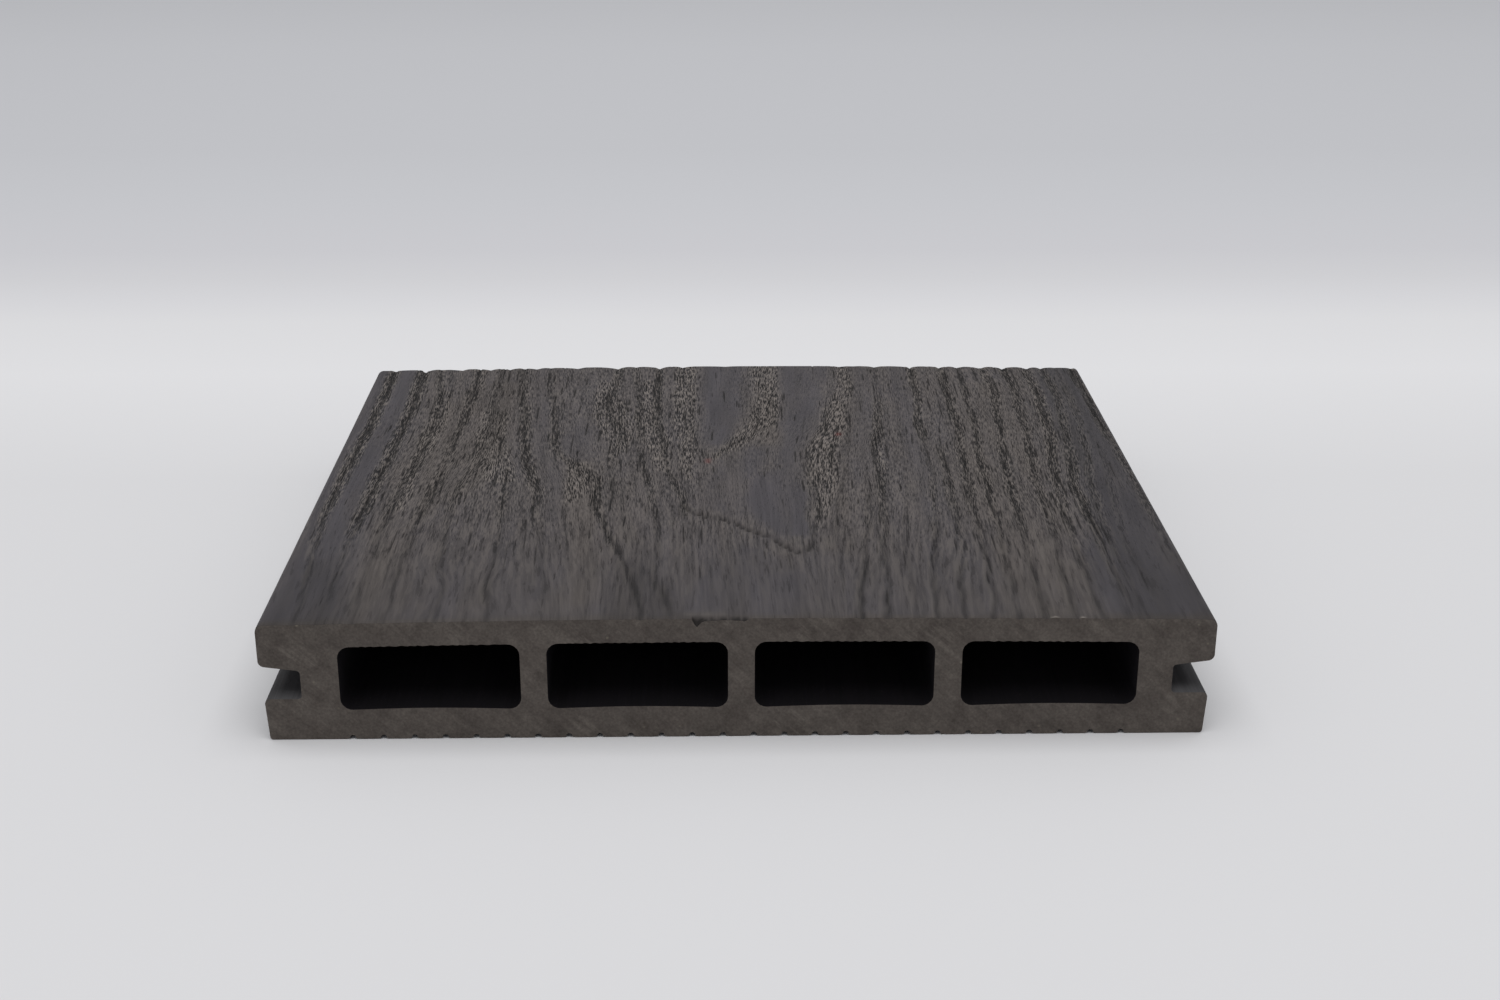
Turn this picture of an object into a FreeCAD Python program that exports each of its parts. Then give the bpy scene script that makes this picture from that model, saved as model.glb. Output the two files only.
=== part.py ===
"""Hollow composite decking board: one extruded section with chambers, side clip slots and base grooves."""
import FreeCAD, Part
import math
import os

import Sketcher

NODE = "decking_board"
SHEET = "Dimensions"
SAME_PLACE = 1e-4

# A sketch's own references: its origin, its axes and the points of a line or an arc
ORIGIN = (-1, 1)
LEVEL_AXIS, UPRIGHT_AXIS = range(-1, -3, -1)
START, END, CENTRE = range(1, 4)

# Driving dimensions in millimetres, each with what it measures
DIMENSIONS = (
    ("board_length", 124.0, "length between the two sawn ends"),
    ("board_width", 145.0, "width over the upper lips"),
    ("board_thickness", 20.0, "height of the top at the middle of the board"),
    ("crown_rise", 0.7, "fall of the top from the middle to its side edges"),
    ("top_edge_radius", 1.2, "rounding of the two top side edges"),
    ("lip_corner_radius", 1.0, "rounding of the upper lip's lower corner"),
    ("foot_setback", 0.5, "how far the lower lip stands inside the upper lip"),
    ("foot_draft", 0.4, "how far the lower lip's side leans in towards the base"),
    ("foot_corner_radius", 0.8, "rounding of the lower lip's upper corner"),
    ("base_corner_radius", 0.5, "rounding of the two base side edges"),
    ("slot_floor_height", 6.9, "height of the clip slot's floor above the base"),
    ("slot_depth", 6.2, "depth of the clip slot from the upper lip's side"),
    ("slot_mouth_height", 5.5, "height of the clip slot at its mouth"),
    ("slot_root_height", 4.7, "height of the clip slot at its inner wall"),
    ("slot_root_radius", 0.6, "rounding of the clip slot's inner corners"),
    ("chamber_count", 4, "number of chambers side by side"),
    ("side_wall", 5.5, "wall between a clip slot and the nearest chamber"),
    ("web_wall", 4.0, "wall between two chambers"),
    ("bottom_wall", 5.0, "wall under the chambers"),
    ("top_wall", 4.0, "wall over the chambers, even along the crown"),
    ("chamber_corner_radius", 1.8, "rounding of the chamber corners"),
    ("groove_count", 26, "number of grooves along the base"),
    ("groove_margin", 12.6, "plain base from its side edge to the outermost groove's centre"),
    ("groove_width", 0.9, "width of a base groove"),
    ("groove_depth", 0.5, "depth of a base groove"),
)

# Sizes that follow from the driving ones, written once for the sketches and features
HALF_WIDTH = "Dimensions.board_width / 2"
FOOT_HALF_WIDTH = "Dimensions.board_width / 2 - Dimensions.foot_setback"
BASE_HALF_WIDTH = "Dimensions.board_width / 2 - Dimensions.foot_setback - Dimensions.foot_draft"
SLOT_ROOT_X = "Dimensions.board_width / 2 - Dimensions.slot_depth"
SLOT_FLOOR_Z = "Dimensions.slot_floor_height"
SLOT_ROOT_TOP_Z = "Dimensions.slot_floor_height + Dimensions.slot_root_height"
SLOT_MOUTH_TOP_Z = "Dimensions.slot_floor_height + Dimensions.slot_mouth_height"
TOP_EDGE_Z = "Dimensions.board_thickness - Dimensions.crown_rise"
CROWN_RADIUS = "(Dimensions.board_width^2 / 4 + Dimensions.crown_rise^2) / (2 * Dimensions.crown_rise)"
CROWN_CENTRE_DROP = CROWN_RADIUS + " - Dimensions.board_thickness"
ROOF_RADIUS = CROWN_RADIUS + " - Dimensions.top_wall"
CHAMBER_FIELD_HALF = SLOT_ROOT_X + " - Dimensions.side_wall"
CHAMBER_WIDTH = (
    "(2 * (" + CHAMBER_FIELD_HALF + ") - (Dimensions.chamber_count - 1) * Dimensions.web_wall)"
    " / Dimensions.chamber_count"
)
GROOVE_FIELD_HALF = BASE_HALF_WIDTH + " - Dimensions.groove_margin"
GROOVE_RADIUS = "(Dimensions.groove_width^2 / 4 + Dimensions.groove_depth^2) / (2 * Dimensions.groove_depth)"


def dimension_sheet(doc):
    """Puts every driving dimension in its own named cell."""
    sheet = doc.addObject("Spreadsheet::Sheet", SHEET)
    for row, (alias, value, meaning) in enumerate(DIMENSIONS, start=1):
        sheet.set("A%d" % row, alias)
        sheet.set("B%d" % row, str(value))
        sheet.setAlias("B%d" % row, alias)
        sheet.set("C%d" % row, meaning)
    doc.recompute()
    return sheet


def size(sheet, expression):
    """Works out one of the expressions above from the sheet, in millimetres."""
    return float(sheet.evalExpression(expression))


def section_sketch(body, name):
    """Starts an empty sketch on the body's own cross-section plane."""
    plane = next(item for item in body.Origin.OriginFeatures if item.Role == "XZ_Plane")
    sketch = body.newObject("Sketcher::SketchObject", name)
    sketch.AttachmentSupport = [(plane, "")]
    sketch.MapMode = "FlatFace"
    return sketch


def bind(sketch, name, expression, kind, *references):
    """Adds a named constraint whose value follows the sheet."""
    value = size(sketch.Document.getObject(SHEET), expression)
    index = sketch.addConstraint(Sketcher.Constraint(kind, *references, value))
    sketch.renameConstraint(index, name)
    sketch.setExpression("Constraints." + name, expression)


def crown_arc(sheet, radius_expression, from_x, to_x):
    """An arc about the crown's centre, drawn from the right end to the left end."""
    radius = size(sheet, radius_expression)
    centre = FreeCAD.Vector(0, -size(sheet, CROWN_CENTRE_DROP), 0)
    circle = Part.Circle(centre, FreeCAD.Vector(0, 0, 1), radius)
    return Part.ArcOfCircle(circle, math.acos(to_x / radius), math.acos(from_x / radius))


# Outline of the board: crowned top, two lips a side and a tapered clip slot between them
def board_outline(body, sheet):
    corners = (
        ("base", BASE_HALF_WIDTH, None),
        ("foot", FOOT_HALF_WIDTH, SLOT_FLOOR_Z),
        ("slot_floor", SLOT_ROOT_X, SLOT_FLOOR_Z),
        ("slot_root", SLOT_ROOT_X, SLOT_ROOT_TOP_Z),
        ("lip", HALF_WIDTH, SLOT_MOUTH_TOP_Z),
        ("top_edge", HALF_WIDTH, TOP_EDGE_Z),
    )
    sketch = section_sketch(body, "BoardOutline")
    right = []
    for name, x_text, z_text in corners:
        height = size(sheet, z_text) if z_text else 0.0
        right.append(FreeCAD.Vector(size(sheet, x_text), height, 0))
    left = [FreeCAD.Vector(-point.x, point.y, 0) for point in right]

    def chain(points):
        lines = []
        for first, second in zip(points, points[1:]):
            lines.append(sketch.addGeometry(Part.LineSegment(first, second)))
            if len(lines) > 1:
                sketch.addConstraint(Sketcher.Constraint("Coincident", lines[-2], END, lines[-1], START))
        return lines

    right_lines = chain(right)
    left_lines = chain(left)
    base_line = sketch.addGeometry(Part.LineSegment(left[0], right[0]))
    crown = sketch.addGeometry(crown_arc(sheet, CROWN_RADIUS, -right[-1].x, right[-1].x))
    sketch.addConstraint(Sketcher.Constraint("Coincident", base_line, END, right_lines[0], START))
    sketch.addConstraint(Sketcher.Constraint("Coincident", base_line, START, left_lines[0], START))
    sketch.addConstraint(Sketcher.Constraint("Coincident", crown, START, right_lines[-1], END))
    sketch.addConstraint(Sketcher.Constraint("Coincident", crown, END, left_lines[-1], END))

    # Each corner is measured on the right and mirrored on the left
    for index, (name, x_text, z_text) in enumerate(corners):
        line = min(index, len(right_lines) - 1)
        end = START if index < len(right_lines) else END
        bind(sketch, name + "_x", x_text, "DistanceX", *ORIGIN, right_lines[line], end)
        if z_text:
            bind(sketch, name + "_z", z_text, "DistanceY", *ORIGIN, right_lines[line], end)
        else:
            sketch.addConstraint(Sketcher.Constraint("PointOnObject", right_lines[line], end, LEVEL_AXIS))
        sketch.addConstraint(
            Sketcher.Constraint("Symmetric", left_lines[line], end, right_lines[line], end, UPRIGHT_AXIS)
        )
    bind(sketch, "crown_radius", CROWN_RADIUS, "Radius", crown)
    return sketch


# Chambers in a row, each with a flat floor and a roof that follows the crown
def chamber_outlines(body, sheet):
    sketch = section_sketch(body, "ChamberOutlines")
    width = size(sheet, CHAMBER_WIDTH)
    web = size(sheet, "Dimensions.web_wall")
    floor_z = size(sheet, "Dimensions.bottom_wall")
    count = int(size(sheet, "Dimensions.chamber_count"))
    roof_radius = size(sheet, ROOF_RADIUS)
    centre_drop = size(sheet, CROWN_CENTRE_DROP)
    first_x = -size(sheet, CHAMBER_FIELD_HALF)
    previous = None
    for index in range(count):
        near_x = first_x + index * (width + web)
        far_x = near_x + width
        near_top = FreeCAD.Vector(near_x, math.sqrt(roof_radius**2 - near_x**2) - centre_drop, 0)
        far_top = FreeCAD.Vector(far_x, math.sqrt(roof_radius**2 - far_x**2) - centre_drop, 0)
        near_floor = FreeCAD.Vector(near_x, floor_z, 0)
        far_floor = FreeCAD.Vector(far_x, floor_z, 0)
        floor = sketch.addGeometry(Part.LineSegment(near_floor, far_floor))
        far_wall = sketch.addGeometry(Part.LineSegment(far_floor, far_top))
        roof = sketch.addGeometry(crown_arc(sheet, ROOF_RADIUS, near_x, far_x))
        near_wall = sketch.addGeometry(Part.LineSegment(near_top, near_floor))
        sketch.addConstraint(
            [
                Sketcher.Constraint("Coincident", floor, END, far_wall, START),
                Sketcher.Constraint("Coincident", far_wall, END, roof, START),
                Sketcher.Constraint("Coincident", roof, END, near_wall, START),
                Sketcher.Constraint("Coincident", near_wall, END, floor, START),
                Sketcher.Constraint("Horizontal", floor),
                Sketcher.Constraint("Vertical", far_wall),
                Sketcher.Constraint("Vertical", near_wall),
            ]
        )
        if previous is None:
            bind(sketch, "field_half_width", CHAMBER_FIELD_HALF, "DistanceX", floor, START, *ORIGIN)
            bind(sketch, "floor_height", "Dimensions.bottom_wall", "DistanceY", *ORIGIN, floor, START)
            bind(sketch, "chamber_width", CHAMBER_WIDTH, "DistanceX", floor, START, floor, END)
            bind(sketch, "roof_radius", ROOF_RADIUS, "Radius", roof)
            bind(sketch, "centre_drop", CROWN_CENTRE_DROP, "DistanceY", roof, CENTRE, *ORIGIN)
            sketch.addConstraint(Sketcher.Constraint("PointOnObject", roof, CENTRE, UPRIGHT_AXIS))
        else:
            last_floor, last_roof = previous
            bind(sketch, "web_%d" % index, "Dimensions.web_wall", "DistanceX", last_floor, END, floor, START)
            sketch.addConstraint(
                [
                    Sketcher.Constraint("Horizontal", last_floor, END, floor, START),
                    Sketcher.Constraint("Equal", last_floor, floor),
                    Sketcher.Constraint("Coincident", last_roof, CENTRE, roof, CENTRE),
                    Sketcher.Constraint("Equal", last_roof, roof),
                ]
            )
        previous = (floor, roof)
    return sketch


# One round-bottomed groove at the left end of the grooved field
def groove_outline(body, sheet):
    sketch = section_sketch(body, "GrooveOutline")
    middle_x = -size(sheet, GROOVE_FIELD_HALF)
    half_width = size(sheet, "Dimensions.groove_width") / 2
    depth = size(sheet, "Dimensions.groove_depth")
    near = FreeCAD.Vector(middle_x - half_width, 0, 0)
    far = FreeCAD.Vector(middle_x + half_width, 0, 0)
    arc = sketch.addGeometry(Part.Arc(far, FreeCAD.Vector(middle_x, depth, 0), near))
    mouth = sketch.addGeometry(Part.LineSegment(near, far))
    sketch.addConstraint(
        [
            Sketcher.Constraint("Coincident", arc, START, mouth, END),
            Sketcher.Constraint("Coincident", arc, END, mouth, START),
            Sketcher.Constraint("PointOnObject", mouth, START, LEVEL_AXIS),
            Sketcher.Constraint("PointOnObject", mouth, END, LEVEL_AXIS),
        ]
    )
    bind(sketch, "groove_middle", GROOVE_FIELD_HALF, "DistanceX", arc, CENTRE, *ORIGIN)
    bind(sketch, "groove_width", "Dimensions.groove_width", "DistanceX", mouth, START, mouth, END)
    bind(sketch, "groove_radius", GROOVE_RADIUS, "Radius", arc)
    return sketch


def pad_along_board(body, sketch):
    """Draws the section out to the board's length, half to each side."""
    pad = body.newObject("PartDesign::Pad", "Extrusion")
    pad.Profile = sketch
    pad.SideType = "Symmetric"
    pad.setExpression("Length", "Dimensions.board_length")
    return pad


def cut_along_board(body, name, sketch):
    """Cuts the sketch right through the board, both ways from the middle."""
    pocket = body.newObject("PartDesign::Pocket", name)
    pocket.Profile = sketch
    pocket.Type = "ThroughAll"
    pocket.SideType = "Symmetric"
    return pocket


def long_edges_at(shape, places):
    """Names the edges that run along the board through the given section points."""
    names = []
    for index, edge in enumerate(shape.Edges, start=1):
        first, last = edge.Vertexes[0].Point, edge.Vertexes[-1].Point
        runs_along = abs(first.x - last.x) < SAME_PLACE and abs(first.z - last.z) < SAME_PLACE
        if runs_along and any(math.hypot(first.x - x, first.z - z) < SAME_PLACE for x, z in places):
            names.append("Edge%d" % index)
    if len(names) != len(places):
        raise RuntimeError("found %d of %d edges to round" % (len(names), len(places)))
    return names


def round_edges(body, name, radius_alias, places):
    """Rounds the long edges at the given section points."""
    body.Document.recompute()
    base = body.Tip
    fillet = body.newObject("PartDesign::Fillet", name)
    fillet.Base = (base, long_edges_at(base.Shape, places))
    fillet.setExpression("Radius", SHEET + "." + radius_alias)
    return fillet


def both_sides(*places):
    """The given section points and their mirror images."""
    return [(sign * x, z) for x, z in places for sign in (1, -1)]


# Roundings of the outline, from the top edge down to the base
def round_outline(body, sheet):
    half_width = size(sheet, HALF_WIDTH)
    root_x = size(sheet, SLOT_ROOT_X)
    floor_z = size(sheet, SLOT_FLOOR_Z)
    top_edge = (half_width, size(sheet, TOP_EDGE_Z))
    lip = (half_width, size(sheet, SLOT_MOUTH_TOP_Z))
    foot = (size(sheet, FOOT_HALF_WIDTH), floor_z)
    base = (size(sheet, BASE_HALF_WIDTH), 0.0)
    roots = ((root_x, floor_z), (root_x, size(sheet, SLOT_ROOT_TOP_Z)))
    round_edges(body, "TopEdgeRounding", "top_edge_radius", both_sides(top_edge))
    round_edges(body, "LipRounding", "lip_corner_radius", both_sides(lip))
    round_edges(body, "FootRounding", "foot_corner_radius", both_sides(foot))
    round_edges(body, "BaseRounding", "base_corner_radius", both_sides(base))
    round_edges(body, "SlotRootRounding", "slot_root_radius", both_sides(*roots))


# Roundings of the chambers, four long corners each
def round_chambers(body, outlines):
    corners = []
    for curve in outlines.Geometry:
        if isinstance(curve, Part.LineSegment) and abs(curve.StartPoint.x - curve.EndPoint.x) < SAME_PLACE:
            corners.append((curve.StartPoint.x, curve.StartPoint.y))
            corners.append((curve.EndPoint.x, curve.EndPoint.y))
    round_edges(body, "ChamberRounding", "chamber_corner_radius", corners)


# Grooves along the base, evenly spread between the plain margins
def groove_row(body, pocket, sketch):
    row = body.newObject("PartDesign::LinearPattern", "GrooveRow")
    row.Originals = [pocket]
    row.Direction = (sketch, ["H_Axis"])
    row.Mode = "Extent"
    row.setExpression("Length", "2 * (" + GROOVE_FIELD_HALF + ")")
    row.setExpression("Occurrences", "Dimensions.groove_count")
    body.Tip = row
    return row


def check_document(doc, body, volume_before_cuts):
    """Stops if any object failed or a cut removed nothing."""
    for item in doc.Objects:
        if "Invalid" in item.State or "Error" in item.State:
            raise RuntimeError(item.Name + " failed: " + ", ".join(item.State))
    shape = body.Shape
    if shape.isNull() or not shape.isValid() or len(shape.Solids) != 1:
        raise RuntimeError("the board is not one valid solid")
    if shape.Volume >= volume_before_cuts:
        raise RuntimeError("the chambers and grooves cut nothing")


def main():
    os.makedirs("parts", exist_ok=True)
    doc = FreeCAD.newDocument("DeckingBoard")
    sheet = dimension_sheet(doc)
    body = doc.addObject("PartDesign::Body", "Board")
    body.Label = NODE
    body.Placement = FreeCAD.Placement()

    pad_along_board(body, board_outline(body, sheet))
    round_outline(body, sheet)
    doc.recompute()
    solid_volume = body.Shape.Volume

    outlines = chamber_outlines(body, sheet)
    cut_along_board(body, "Chambers", outlines)
    round_chambers(body, outlines)

    groove_sketch = groove_outline(body, sheet)
    groove = cut_along_board(body, "Groove", groove_sketch)
    doc.recompute()
    groove_row(body, groove, groove_sketch)
    doc.recompute()

    check_document(doc, body, solid_volume)
    body.Shape.exportStep("parts/" + NODE + ".step")
    print(NODE, "volume cm3 %.2f" % (body.Shape.Volume / 1000), "box", body.Shape.BoundBox)


main()
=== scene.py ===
"""Looks of the decking board: its embossed top, extruded skin and sawn ends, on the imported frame."""
import math

import bpy
import numpy as np
from mathutils import Matrix, Vector
from mathutils.geometry import delaunay_2d_cdt


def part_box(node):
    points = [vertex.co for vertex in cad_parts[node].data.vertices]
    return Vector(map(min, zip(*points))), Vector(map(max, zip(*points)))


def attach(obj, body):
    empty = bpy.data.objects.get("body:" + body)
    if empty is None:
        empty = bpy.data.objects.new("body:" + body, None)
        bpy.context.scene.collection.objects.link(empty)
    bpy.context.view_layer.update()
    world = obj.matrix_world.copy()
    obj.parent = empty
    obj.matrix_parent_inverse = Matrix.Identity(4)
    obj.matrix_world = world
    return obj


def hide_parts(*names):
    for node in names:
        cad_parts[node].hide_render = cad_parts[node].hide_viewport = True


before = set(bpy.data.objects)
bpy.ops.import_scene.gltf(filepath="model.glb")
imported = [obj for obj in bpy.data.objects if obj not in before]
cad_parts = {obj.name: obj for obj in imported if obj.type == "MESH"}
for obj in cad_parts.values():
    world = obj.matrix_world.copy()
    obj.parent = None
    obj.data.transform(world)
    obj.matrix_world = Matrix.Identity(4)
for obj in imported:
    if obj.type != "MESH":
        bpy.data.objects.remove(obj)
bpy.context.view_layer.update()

NODE = "decking_board"
BODY = "root"
PIECE = "decking_board_finish"

# Shapes are worked out in millimetres, with y counted from the front end, and written in metres
MM = 0.001
BOARD_LOW, BOARD_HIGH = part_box(NODE)
HALF_WIDTH = BOARD_HIGH.x / MM
LENGTH = (BOARD_HIGH.y - BOARD_LOW.y) / MM
THICKNESS = BOARD_HIGH.z / MM
FRONT_Y = BOARD_LOW.y

# The section, as the part is made
CROWN_RISE = 0.7
TOP_EDGE_RADIUS = 1.2
LIP_CORNER_RADIUS = 1.0
FOOT_SETBACK = 0.5
FOOT_DRAFT = 0.4
FOOT_CORNER_RADIUS = 0.8
BASE_CORNER_RADIUS = 0.5
SLOT_FLOOR = 6.9
SLOT_DEPTH = 6.2
SLOT_MOUTH = 5.5
SLOT_ROOT = 4.7
SLOT_ROOT_RADIUS = 0.6
CHAMBERS = 4
SIDE_WALL = 5.5
WEB_WALL = 4.0
BOTTOM_WALL = 5.0
TOP_WALL = 4.0
CHAMBER_RADIUS = 1.8
GROOVES = 26
GROOVE_MARGIN = 12.6

# Small departures of the real extrusion from that section
GROOVE_WIDTH = 1.0
GROOVE_DEPTH = 0.7
GROOVE_FULLNESS = 0.8
LAND_BULGE = 0.1
LAND_SHOULDER = 1.2
ROOF_RIPPLE = 0.07
ROOF_RIPPLE_PITCH = 1.5
ROOF_PITCH_SWING = (0.5, 1.5)
ROOF_RIPPLE_SWING = (0.4, 1.2)
ROOF_RIPPLE_FADE = 8
CHAMBER_SEED = 60
FLOOR_BULGE = 0.25
CHAMBER_DRIFTS = ((0.3, 0.35), (0.4, 0.45), (0.5, 0.45), (0.6, 0.15))

# Upward part of the top's normals where the relief starts, and over which it grows
RELIEF_FADE_FROM = 0.05
RELIEF_FADE_OVER = 0.6

# Fineness of the mesh, whose rows along the top are closer together at both ends
CROWN_STEPS = 850
EDGE_STEPS = 6
CORNER_STEPS = 5
TOP_ROWS = 102
ROOF_STEPS = 64
FLOOR_STEPS = 12
SKIN_STATIONS = 5
GROOVE_STEPS = 7
END_ROWS = (0.0, 0.15, 0.4, 0.8, 1.3)

CROWN_RADIUS = (HALF_WIDTH**2 + CROWN_RISE**2) / (2 * CROWN_RISE)
CROWN_CENTRE = THICKNESS - CROWN_RADIUS
MIRROR = np.array([-1.0, 1.0])

# Grain lines pressed into the top, in order from left to right. Each has its course as (y, x) points,
# how deep and pitted it is as (y, strength) points, both held beyond their ends, and its half-width
LEFT_LINES = (
    (((0, -67), (16, -67.5), (24, -68.7), (33, -69.3), (80, -69.3), (88, -68.3), (124, -68.9)),
     ((0, 0.4), (33, 0.75), (60, 1.05), (124, 1.3)), 0.85),
    (((0, -63.5), (38, -63.3), (60, -63), (85, -62.5), (124, -62.8)),
     ((0, 0.3), (25, 0.45), (36, 0.95), (60, 1.15), (124, 1.25)), 1),
    (((0, -58.3), (35, -59), (55, -58.5), (68, -57.5), (88, -56.3), (100, -57), (124, -59.5)),
     ((0, 0.45), (25, 0.5), (45, 0.75), (90, 0.9), (124, 0.7)), 1),
    (((0, -53), (25, -53.8), (43, -53.4), (60, -52.5), (90, -51), (124, -51.8)),
     ((0, 0.45), (30, 0.6), (50, 0.8)), 1),
    (((0, -45.8), (13, -45.5), (20, -47.5), (56, -48.3), (70, -46), (95, -46), (124, -47)),
     ((30, 0.55), (55, 0.8)), 1),
    (((0, -37.5), (12, -39.4), (20, -38.8), (60, -40.3), (80, -43), (124, -44.9)),
     ((0, 0.6), (30, 0.7), (56, 0.8), (66, 0.1), (124, 0.3)), 0.8),
    (((0, -29), (20, -31), (40, -33.5), (55, -34.5), (66, -37), (80, -38.8), (100, -40.3), (124, -42.4)),
     ((0, 0.25), (30, 0.4), (42, 0.7), (60, 1), (124, 0.9)), 1),
)
FIGURE_LINES = (
    (((0, -14.5), (12, -16.3), (25, -19), (37, -21.8), (44, -23.8), (58, -24.2), (63, -24.8), (66.8, -28),
      (70, -31.5), (73, -32.7), (88, -33.3), (110, -35.5), (124, -36.5)),
     ((0, 0.9), (40, 1), (60, 1), (80, 0.8), (124, 0.6)), 0.9),
    (((0, -12.6), (24, -16), (36, -18.5), (50, -21), (68, -22), (85, -20.5), (97, -23.5), (104, -24),
      (112, -23)),
     ((0, 0.1), (60, 0.2), (68, 0.8), (124, 1)), 1),
    (((0, -9.6), (8, -11.5), (15, -12.5), (30, -12.5), (44, -13.5), (56, -14.7), (70, -16.5), (95, -17.5),
      (124, -19.3)),
     ((0, 0.8), (30, 0.6), (60, 0.8)), 0.7),
    (((0, -7), (25, -7.5), (46, -8.5), (51, -9), (56, -10.5), (62, -11.8), (78, -12.5), (88, -14),
      (124, -14.5)),
     ((0, 0), (38, 0.1), (44, 0.9), (124, 1)), 0.8),
    (((15, 3), (30, 2), (40, 0), (50, -3), (69.5, -4.4), (72, -5.8), (78, -7), (86, -8), (100, -7.5),
      (124, -10)),
     ((67, 0), (70, 0.6), (90, 0.35), (124, 0.3)), 1),
    (((0, 10.5), (22, 10), (38, 6), (58, 0), (66, -2), (71, -2.5), (77, 0), (83, 5), (88, 6.5), (103, 7),
      (124, 6.5)),
     ((68, 0), (71, 0.6), (85, 0.4), (95, 0.1)), 1),
)
RIGHT_LINES = (
    (((0, 13.4), (20, 12.8), (31, 12.6), (40, 13.3), (68, 13.8), (75, 14.5), (88, 17.5), (100, 18.7),
      (124, 21.5)),
     ((0, 0), (24, 0.2), (31, 0.7), (60, 0.5), (90, 0.35), (124, 0.25)), 0.8),
    (((0, 16), (30, 16.5), (50, 18), (60, 19.5), (70, 20), (80, 21.5), (100, 23.5), (124, 25.5)),
     ((0, 0.1), (30, 0.2), (45, 0.35), (124, 0.25)), 0.9),
    (((0, 18.6), (13, 19.7), (25, 21.2), (43, 22.8), (60, 23.4), (80, 24.6), (124, 27.8)),
     ((0, 1), (40, 0.8), (52, 0.1)), 0.7),
    (((0, 22.4), (15, 23.7), (30, 24.5), (45, 25.6), (76, 26.5), (92, 28.7), (124, 30)),
     ((0, 0.8), (100, 0.9), (108, 0.4), (124, 0.5)), 0.7),
    (((0, 26.8), (12, 27.2), (31, 28.2), (48, 29.8), (60, 30.5), (124, 33.6)),
     ((0, 0.4), (50, 0.5), (62, 0.1), (124, 0)), 0.7),
    (((0, 30), (22, 31.5), (40, 34), (62, 35.5), (88, 36), (112, 37.5), (124, 37.9)),
     ((0, 0.8), (60, 0.6), (72, 0.3), (85, 0.9), (124, 1)), 0.8),
    (((0, 34.3), (12, 35), (27, 37.2), (58, 38.2), (73, 38.7), (90, 40.3), (124, 41)),
     ((73, 0.8), (80, 0.1)), 0.8),
    (((0, 38.8), (12, 39.8), (44, 41), (75, 42), (85, 43.3), (124, 43.6)),
     ((0, 0.8), (124, 1)), 0.8),
    (((0, 42.3), (24, 43.7), (62, 44.8), (72, 45), (82, 46.5), (124, 47.4)),
     ((0, 0.8), (60, 1), (124, 0.7)), 0.8),
    (((0, 46.4), (30, 48), (55, 48.7), (77, 50), (84, 51), (110, 53), (124, 52.2)),
     ((0, 0.7), (60, 1), (124, 0.9)), 0.9),
    (((0, 50.8), (24, 52), (32, 53), (63, 54), (72, 55), (110, 57), (124, 56.7)),
     ((0, 0.6), (60, 0.9), (124, 1)), 0.9),
    (((0, 55.2), (34, 56), (62, 57.5), (78, 59.5), (95, 61), (124, 61.5)),
     ((0, 0.6), (30, 0.8), (70, 1.15), (105, 1.15), (124, 0.9)), 0.9),
    (((0, 59.6), (35, 60.2), (58, 60.3), (75, 62.5), (105, 65), (124, 64.7)),
     ((0, 0.5), (38, 1.1), (62, 1.1), (72, 0.8)), 0.8),
    (((0, 61.4), (42, 62.2), (58, 63), (70, 65), (90, 67), (124, 67.7)),
     ((0, 0.3), (40, 0.6), (100, 0.6), (124, 0.3)), 0.7),
    (((0, 63.8), (35, 64.5), (60, 67.4), (80, 68.6), (124, 69.4)),
     ((0, 0.1), (15, 0.3), (60, 0.3), (80, 0.1)), 0.7),
    (((0, 71.4), (124, 70.9)),
     ((0, 0.3), (60, 0.7), (124, 1)), 0.7),
)
GRAIN_LINES = LEFT_LINES + FIGURE_LINES + RIGHT_LINES

# Reach over which the lines' bends are rounded, and the reads it takes
BEND_REACH = 4.0
BEND_READS = 9

# The fibres run nearly straight. Where the figure cuts across them, they take this (y, x) course
FIBRE_COURSE = ((0, -19.5), (25, -19.8), (44, -21), (124, -27))

# Notches between the lobes of the back edge, as (x, depth, reach to the left, reach to the right)
BACK_NOTCHES = (
    (-62.8, 0.3, 1.2, 3), (-55, 0.34, 5, 1.8), (-49.3, 0.4, 2.5, 2.2), (-45.1, 0.32, 2, 2.2),
    (-39.7, 0.32, 3, 2.2), (-31.4, 0.32, 5, 2.4), (-23.1, 0.36, 5, 2.4), (-14.3, 0.36, 4, 2.6),
    (-9.6, 0.28, 2, 3), (-0.8, 0.12, 4, 3), (22.9, 0.2, 2, 2.5), (29.9, 0.2, 2.5, 3), (37.6, 0.2, 4, 2),
    (43.5, 0.2, 2.5, 2), (46.8, 0.2, 1.5, 2), (51.6, 0.28, 2.5, 2), (56.6, 0.32, 2.5, 2),
    (61.9, 0.28, 2.5, 1.2), (64.6, 0.16, 1.2, 2),
)
LOBES_FROM = 20

# The tip of the large tongue, an edge that crosses the grain lines, as (x, y) points
TONGUE_TIP = (
    (-8.7, 46.5), (-7, 43.5), (-4, 41), (-1, 39), (3, 35), (6, 31.5), (8, 28), (10, 25.4), (11.3, 25.2),
    (12.4, 29),
)

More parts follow.
